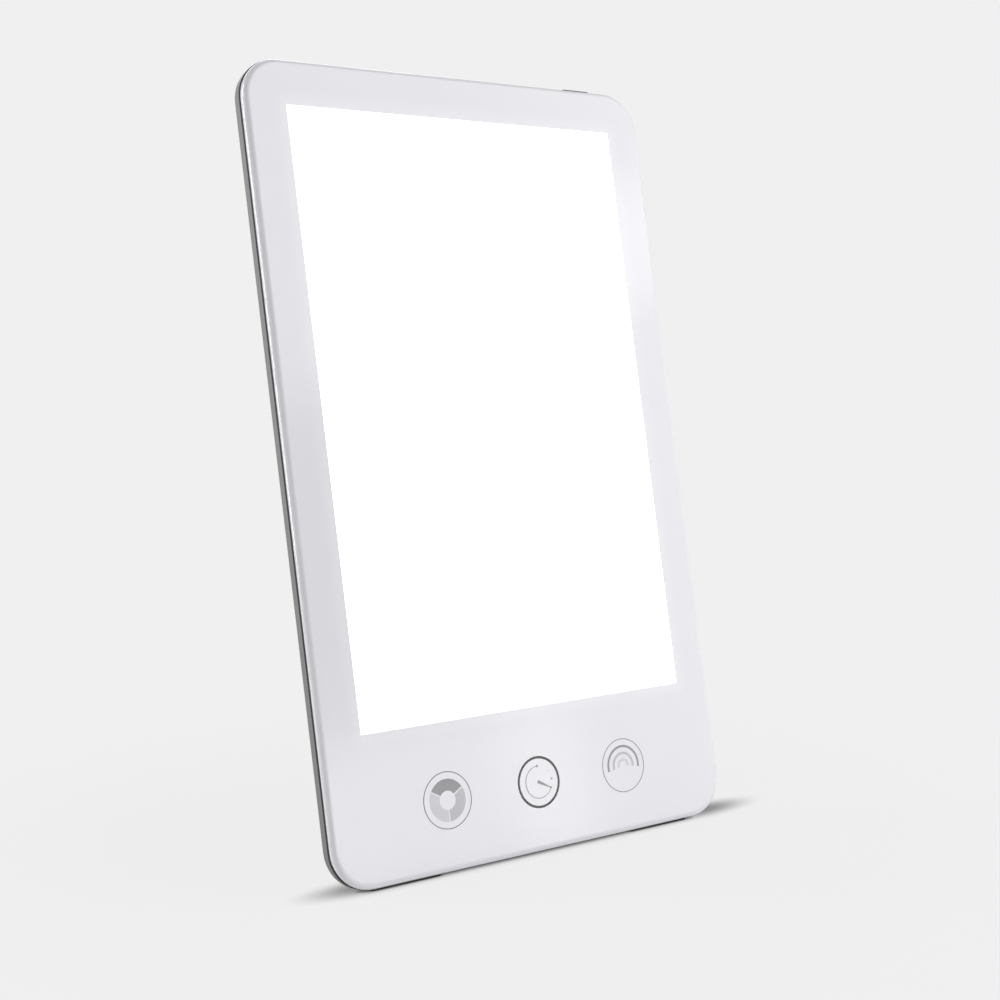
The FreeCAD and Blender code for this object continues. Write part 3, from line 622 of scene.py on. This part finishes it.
ink_black = ink("black ink", tone(22, 15, 19), 0.18)
ink_ring = ink("ring grey ink", tone(120, 119, 124))
ink_dark = ink("dark grey ink", tone(150, 149, 153))
ink_line = ink("line grey ink", tone(144, 143, 148))
ink_mid = ink("mid grey ink", tone(191, 190, 195))
ink_pale = ink("pale grey ink", tone(207, 206, 211))

full_turn = 360
degrees_per_step = 5
fewest_steps = 6


def band(inner, outer, start, sweep):
    """A flat ring sector, upright, about the origin. Degrees run counter-clockwise from the right."""
    shape = bmesh.new()
    turn = math.radians(start)
    aim = Vector((math.cos(turn), 0, math.sin(turn)))
    ends = [shape.verts.new(aim * radius) for radius in (inner, outer)]
    edge = shape.edges.new(ends)
    steps = max(fewest_steps, round(sweep / degrees_per_step))
    bmesh.ops.spin(shape, geom=ends + [edge], cent=(0, 0, 0), axis=(0, -1, 0),
                   angle=math.radians(sweep), steps=steps, use_merge=sweep == full_turn)
    return shape


def arc(radius, width, start=0, sweep=full_turn):
    """A printed line of one width along a circle."""
    return band(radius - width / 2, radius + width / 2, start, sweep)


def disc(radius, x, z):
    """A flat dot, upright."""
    shape = bmesh.new()
    bmesh.ops.create_circle(shape, cap_ends=True, segments=20, radius=radius)
    bmesh.ops.rotate(shape, verts=shape.verts, matrix=Matrix.Rotation(math.radians(90), 3, "X"))
    bmesh.ops.translate(shape, verts=shape.verts, vec=(x, 0, z))
    return shape


def hand(reach, wide, narrow, angle):
    """A tapered pointer from the middle, at an angle from the right."""
    shape = bmesh.new()
    upper = [(-wide, wide), (0, wide), (reach, narrow)]
    lower = [(x, -z) for x, z in reversed(upper)]
    shape.faces.new([shape.verts.new((x, 0, z)) for x, z in upper + lower])
    bmesh.ops.rotate(shape, verts=shape.verts, matrix=Matrix.Rotation(-math.radians(angle), 3, "Y"))
    return shape


def print_mark(name, shape, key, material):
    """Gives a flat shape the ink's thickness and sets it on the front, over one of the three keys."""
    grown = bmesh.ops.extrude_face_region(shape, geom=shape.faces[:])["geom"]
    top = [item for item in grown if isinstance(item, bmesh.types.BMVert)]
    bmesh.ops.translate(shape, verts=top, vec=(0, -ink_thickness, 0))
    bmesh.ops.recalc_face_normals(shape, faces=shape.faces)
    key_place = Matrix.Translation((key * key_spacing, front, key_height))
    bmesh.ops.transform(shape, matrix=lean @ key_place, verts=shape.verts)
    place_piece(name, finished(name, shape), "panel", material)


left, centre, right = -1, 0, 1
print("keys", round(key_spacing / mm, 1), "mm apart,", round(key_height / mm, 1), "mm up the panel")

# %% [markdown]
# Left: the colour symbol, a ring cut in three by straight gaps. Its sectors are swept until they
# would touch, and a plane beside each gap cuts them back, so that the gaps keep one width.

# %% Left symbol
ring_radius = 10.4 * mm
line = 0.35 * mm
gap = 0.55 * mm
sector_inner, sector_outer = ring_radius * 0.337, ring_radius * 0.757


def sector(start, sweep):
    """A sector with straight ends, each half a gap short of its neighbour."""
    shape = band(sector_inner, sector_outer, start, sweep)
    for angle, side in ((start, 1), (start + sweep, -1)):
        turn = math.radians(angle)
        away = Vector((-math.sin(turn), 0, math.cos(turn))) * side
        bmesh.ops.bisect_plane(shape, geom=shape.verts[:] + shape.edges[:] + shape.faces[:],
                               plane_co=away * gap / 2, plane_no=away, clear_inner=True)
    return shape


print_mark("left_ring", arc(ring_radius, line), left, ink_ring)
for name, start, material in (("top", 30, ink_dark), ("left", 150, ink_pale), ("right", 270, ink_mid)):
    print_mark("left_sector_" + name, sector(start, full_turn / 3), left, material)
print("left ring radius", ring_radius / mm, "mm, gaps", gap / mm, "mm")

# %% [markdown]
# Middle: the timer, drawn as a dial. Its ring is black and heavier. A thin arc runs from the top
# round the left and the bottom to the tip of the hand. Dots mark its two ends, and two more stand in
# the part of the dial that it leaves open.

# %% Middle symbol
dial_radius = 9.4 * mm
dial_line = 0.95 * mm
arc_radius = dial_radius * 0.65
arc_line = 0.28 * mm
dial_top = 90
hand_angle = -28
hand_wide, hand_narrow = 0.62 * mm, 0.16 * mm
dots = ((dial_top, 0.48 * mm, ink_dark), (36, 0.28 * mm, ink_mid),
        (4, 0.42 * mm, ink_dark), (hand_angle, 0.4 * mm, ink_dark))

arc_sweep = full_turn - dial_top + hand_angle
print_mark("timer_ring", arc(dial_radius, dial_line), centre, ink_black)
print_mark("timer_arc", arc(arc_radius, arc_line, dial_top, arc_sweep), centre, ink_line)
print_mark("timer_hand", hand(arc_radius, hand_wide, hand_narrow, hand_angle), centre, ink_dark)
for count, (angle, radius, material) in enumerate(dots, start=1):
    turn = math.radians(angle)
    dot = disc(radius, arc_radius * math.cos(turn), arc_radius * math.sin(turn))
    print_mark("timer_dot_%d" % count, dot, centre, material)
print("timer hand at", hand_angle, "degrees")

# %% [markdown]
# Right: the brightness symbol, three arches one inside the other, each paler than the one outside.
# Radius and width are shares of the ring's radius. The arches reach a little below their middle.

# %% Right symbol
arch_start, arch_sweep = -12, 204
arches = (("outer", 0.725, 0.09, ink_dark),
          ("middle", 0.465, 0.10, ink_mid),
          ("inner", 0.22, 0.10, ink_pale))

print_mark("right_ring", arc(ring_radius, line), right, ink_line)
for name, share, width, material in arches:
    arch = arc(ring_radius * share, ring_radius * width, arch_start, arch_sweep)
    print_mark("right_arch_" + name, arch, right, material)
print("arches:", len(arches))

# %% [markdown]
# The studio is a pale floor that runs into a backdrop of the same colour. To the camera and to
# reflections the floor shows the backdrop's own colour, so that no horizon is seen, and only near the
# lamp is a small share of it lit like any surface. For all other light it is a plain matt floor.

# %% Helpers for the stage
backdrop = tone(240, 240, 240)


def seen_directly(tree):
    """1 for rays that come from the camera, a reflection or through glass, and 0 for light itself."""
    path = add(tree, "LightPath").outputs
    opaque = maths(tree, "MAXIMUM", path["Is Camera Ray"], path["Is Glossy Ray"])
    return maths(tree, "MAXIMUM", opaque, path["Is Transmission Ray"])


def mixed(tree, factor, first, second):
    """Two shaders mixed. Both sockets have one name, so they are filled in order."""
    mix = add(tree, "MixShader")
    for socket, value in zip(mix.inputs, (factor, first, second)):
        fill(tree, socket, value)
    return mix.outputs["Shader"]


print("backdrop", [round(v, 3) for v in backdrop[:3]])

# %% [markdown]
# Two painted shades on the floor seat the lamp on it. Both are painted into the colour that the floor
# shows, and the lamps do not cast them. The first is a thin dark line where something touches the floor,
# which ambient occlusion finds. The second is a long blur along the panel's lower edge: it is deepest on
# one line under that edge, and eases off across the line and past its two ends. Its place and depth
# follow the photograph, and it reaches a little further on the right.

# %% Pale floor
floor_size = 8.0
lit_near, lit_far = 100 * mm, 300 * mm
lit_share = 0.07
contact_tone = tone(96, 92, 90)
contact_reach = 1.5 * mm
shade_line = -28.5 * mm
shade_start, shade_end = -70 * mm, 86 * mm
shade_reach = (42 * mm, 13 * mm)
shade_depth = 0.75


def painted_contact_shade(tree):
    near = add(tree, "AmbientOcclusion", Distance=contact_reach)
    near.samples = 16
    return between(tree, near.outputs["AO"], contact_tone, backdrop, 0.25, 0.96)


def painted_edge_shade(tree, place):
    """The share of light that the painted shade leaves."""
    split = add(tree, "SeparateXYZ", Vector=place).outputs
    past_ends = outside(tree, split["X"], shade_start, shade_end)
    off_line = outside(tree, split["Y"], shade_line, shade_line)
    away = add(tree, "CombineXYZ", X=past_ends, Y=off_line).outputs["Vector"]
    scale = (1 / shade_reach[0], 1 / shade_reach[1], 1.0)
    share = length(tree, add(tree, "Mapping", Vector=away, Scale=scale).outputs["Vector"])
    return eased(tree, share, 0.0, 1.0, 1 - shade_depth, 1.0)


def pale_floor():
    material = bpy.data.materials.new("pale floor")
    tree = fresh_tree(material)
    place = add(tree, "TexCoord").outputs["Object"]
    own_share = eased(tree, length(tree, place), lit_near, lit_far, 1 - lit_share, 1.0)
    matt = add(tree, "BsdfDiffuse", Color=backdrop).outputs["BSDF"]
    # The floor's own glow carries both painted shades: the contact line in its colour, the edge blur in
    # its strength.
    own = add(tree, "Emission", Color=painted_contact_shade(tree), Strength=painted_edge_shade(tree, place))
    factor = maths(tree, "MULTIPLY", own_share, seen_directly(tree))
    add(tree, "OutputMaterial", Surface=mixed(tree, factor, matt, own.outputs["Emission"]))
    return material


shape = bmesh.new()
bmesh.ops.create_grid(shape, x_segments=1, y_segments=1, size=floor_size / 2)
floor = loose("floor", shape)
floor.data.materials.append(pale_floor())
print("floor", floor_size, "m, blur of", shade_reach[0] / mm, "by", shade_reach[1] / mm, "mm")

# %% [markdown]
# The world is the same backdrop to the camera and to reflections. As a light it is dimmer, so that
# the lamps draw the forms and the world only fills in.

# %% World
fill_light = 0.36

world = bpy.data.worlds.new("studio")
bpy.context.scene.world = world
tree = fresh_tree(world)
around = add(tree, "Background", Color=(1.0, 1.0, 1.0, 1.0), Strength=fill_light)
behind = add(tree, "Background", Color=backdrop, Strength=1.0)
sky = [shader.outputs["Background"] for shader in (around, behind)]
add(tree, "OutputWorld", Surface=mixed(tree, seen_directly(tree), *sky))
print("world light", fill_light)

# %% [markdown]
# Five soft lamps. The key lamp and the right lamp stand to the right, so that the right border of
# the front is a little brighter than the left one, and a low lamp lifts the lower border. A narrow
# lamp to the left, behind, draws the thin bright line along the rounded left edge. The back lamp
# shows the housing and the leg in views from behind.

# %% Lamps
target = Vector((0, 0, 0.15))


def soft_lamp(name, place, size, watts):
    """A flat lamp that faces the middle of the panel. Place and size are in metres."""
    light = bpy.data.lights.new(name, "AREA")
    light.shape = "RECTANGLE"
    light.size, light.size_y = size
    light.energy = watts
    lamp = bpy.data.objects.new(name, light)
    lamp.location = place
    lamp.rotation_euler = (target - lamp.location).to_track_quat("-Z", "Y").to_euler()
    bpy.context.scene.collection.objects.link(lamp)


soft_lamp("key lamp", (1.0, -1.1, 1.3), (1.2, 1.2), 9.5)
soft_lamp("right lamp", (1.0, -0.75, 0.30), (0.9, 0.9), 5.0)
soft_lamp("low lamp", (0.2, -1.3, 0.12), (1.4, 0.2), 2.2)
soft_lamp("left strip lamp", (-1.0, 0.75, 0.30), (0.2, 1.4), 13.0)
soft_lamp("back lamp", (0.4, 1.5, 1.0), (1.2, 1.0), 6.0)
print("lamps:", len(bpy.data.lights))

# %% [markdown]
# The camera stands to the left of the lamp, a little above the height of its middle, and looks
# slightly down. The small shift places the lamp in the picture as the photograph does.

# %% Camera
sensor_width = 36.0
focal_length = 59.68
picture_shift = (-0.0174, 0.0459)
camera_place = (-0.37037, -0.52443, 0.19894)
camera_turn = (82.5252, -0.0678, -36.276)

lens_data = bpy.data.cameras.new("camera")
lens_data.sensor_width = sensor_width
lens_data.lens = focal_length
lens_data.shift_x, lens_data.shift_y = picture_shift
camera = bpy.data.objects.new("camera", lens_data)
camera.location = camera_place
camera.rotation_euler = [math.radians(angle) for angle in camera_turn]
bpy.context.scene.collection.objects.link(camera)
bpy.context.scene.camera = camera
bpy.context.scene.view_settings.view_transform = "Standard"
print("camera", round((target - camera.location).length, 3), "m from the lamp")
